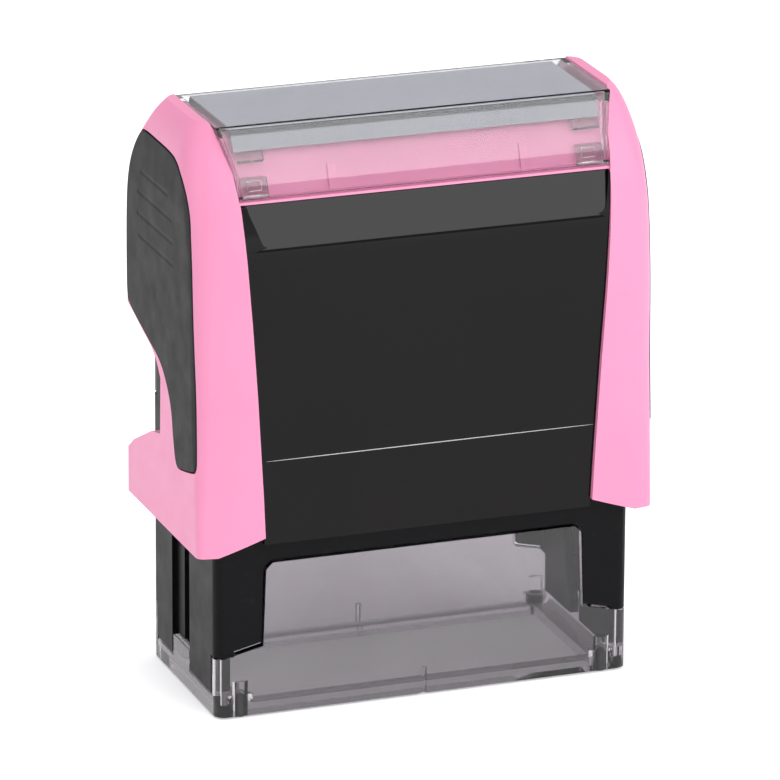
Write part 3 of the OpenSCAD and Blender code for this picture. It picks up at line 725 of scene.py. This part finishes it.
def windowSolid(name, key, inward):
    # a roof profile carried from side to side, cut off where the two flaring walls stand, moved inward
    reach = handle["cutReach"]
    flare = mirroredOutline(np.array(handle["roofHalf"]) - [inward, 0])
    made = prism(name, mirroredOutline(softened(window[key], 1)), 0, -reach, reach)
    return combine(made, "INTERSECT", prism("flare", flare, 1, -reach, reach))


def makeWindow():
    # a thin shell, the outside less the hollow and the shelf's room, and its eight clip blocks
    reach = handle["cutReach"]
    made = windowSolid("indexWindow", "outer", window["gap"])
    hollow = windowSolid("windowHollow", "inner", window["gap"] + window["wall"])
    combine(made, "DIFFERENCE", hollow,
            prism("under", mirroredOutline(window["under"]), 0, -reach, reach))
    finishPiece(made, "window", "windowClear", ["index_window"], window["soften"])
    blocks = [cornerBlock(side, facing, key) for side in (-1, 1) for facing in (-1, 1)
              for key in ("lowerBlock", "upperBlock")]
    blocks[0].name = "windowBlocks"
    finishPiece(combine(blocks[0], "UNION", *blocks[1:]), "window", "blockClear",
                soften=window["blockSoften"])


def makeCard():
    # the two faces, each mirrored, close one outline that is carried from side to side
    upper, lower = softened(card["outer"], 2), softened(card["inner"], 2)
    outline = np.vstack([mirroredOutline(upper), lower[::-1] * [-1, 1], lower])
    made = prism("indexCard", outline, 0, -card["half"], card["half"])
    finishPiece(made, "handle", "cardPaper", ["index_card"], card["soften"])


makeWindow()
makeCard()
print("stage: window")

# return spring; keep is the share of its length left when the handle is pressed
spring = {"radius": 5.6, "wire": 0.45, "turns": 5.5, "low": 48.05, "high": 75.15,
          "steps": 330, "sides": 12, "flat": 0.75, "flatRise": 1.9, "keep": 0.207}


def makeSpring():
    # a circle of wire carried along a helix whose first and last part turn lie flat
    share = np.linspace(0, 1, spring["steps"])
    angle = 2 * np.pi * spring["turns"] * share
    flat = spring["flat"] / spring["turns"]
    rise = np.clip((share - flat) / (1 - 2 * flat), 0, 1)
    wire, radius, flatRise = spring["wire"], spring["radius"], spring["wire"] * spring["flatRise"]
    low, high = spring["low"] + wire, spring["high"] - wire
    height = (low + flatRise * (np.minimum(share, flat) + np.maximum(0, share - 1 + flat)) / flat
              + (high - low - 2 * flatRise) * rise)
    middle = np.column_stack([radius * np.cos(angle), radius * np.sin(angle), height])
    along = np.gradient(middle, axis=0)
    along /= np.linalg.norm(along, axis=1, keepdims=True)
    outward = np.column_stack([np.cos(angle), np.sin(angle), np.zeros_like(angle)])
    across = np.cross(along, outward)
    turn = np.arange(spring["sides"]) * 2 * np.pi / spring["sides"]
    rings = (middle[:, None] + wire * (outward[:, None] * np.cos(turn)[None, :, None]
                                       + across[:, None] * np.sin(turn)[None, :, None]))
    rings[:, :, 2] = np.clip(rings[:, :, 2], spring["low"], spring["high"])
    made = loftSolid("returnSpring", rings)
    finishPiece(made, "base", "springSteel", ["return_spring"], 0)
    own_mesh(made)


makeSpring()
print("stage: spring")

# the remaining parts are merged copies of the CAD nodes with softened edges
# node: (piece, body, slot, finish, edge softening)
mergedParts = {
    "base_frame": ("baseFrame", "base", "base_black", "baseBlack", 0.18),
    "clear_foot": ("clearFoot", "base", "foot_smoke", "footSmoke", 0.07),
    "rubber_feet": ("rubberFeet", "base", "foot_rubber", "footRubber", 0.2),
    "lock_button": ("lockButton", "lock", "lock_grey", "lockGrey", 0.12),
    "pad_tray": ("padTray", "pad", "tray_black", "trayBlack", 0.18),
    "pad_felt": ("padFelt", "pad", "felt_ink", "feltInk", 0.35),
    "left_pad_grip": ("leftPadGrip", "pad", "pad_grip_grey", "padGripGrey", 0.2),
    "right_pad_grip": ("rightPadGrip", "pad", "pad_grip_grey", "padGripGrey", 0.2),
    "die_carrier": ("dieCarrier", "die", "carrier_grey", "carrierGrey", 0.15),
    "die_foam": ("dieFoam", "die", "foam_white", "foamWhite", 0.15),
    "rubber_die": ("rubberDie", "die", "die_rubber", "dieRubber", 0.1),
    "axle_pins": ("axlePins", "die", "pin_steel", "pinSteel", 0.15),
}


def makeMergedParts():
    for node, (name, body, slotName, finish, soften) in mergedParts.items():
        finishPiece(mergedCopy(name, node), body, finish, [node], soften)


makeMergedParts()
print("stage: merged parts")


def makeFloor():
    # a level grid of points, one face for each cell
    side = np.linspace(-studio["floorSize"] / 2, studio["floorSize"] / 2, studio["floorSteps"]) / mm
    x, y = np.meshgrid(side, side)
    points = np.column_stack([x.ravel(), y.ravel(), np.zeros(x.size)])
    ids = np.arange(x.size).reshape(x.shape)
    faces = np.stack([ids[:-1, :-1], ids[:-1, 1:], ids[1:, 1:], ids[1:, :-1]], -1).reshape(-1, 4)
    floor = meshFrom("floor", points, faces.tolist())
    floor.data.materials.append(finishes["floorPale"])
    glow = finishes["floorPale"].node_tree.nodes["Principled BSDF"].inputs
    glow["Emission Color"].default_value = studio["glowColour"]
    glow["Emission Strength"].default_value = studio["floorGlow"]


makeFloor()
print("stage: floor")

print("stage: done")
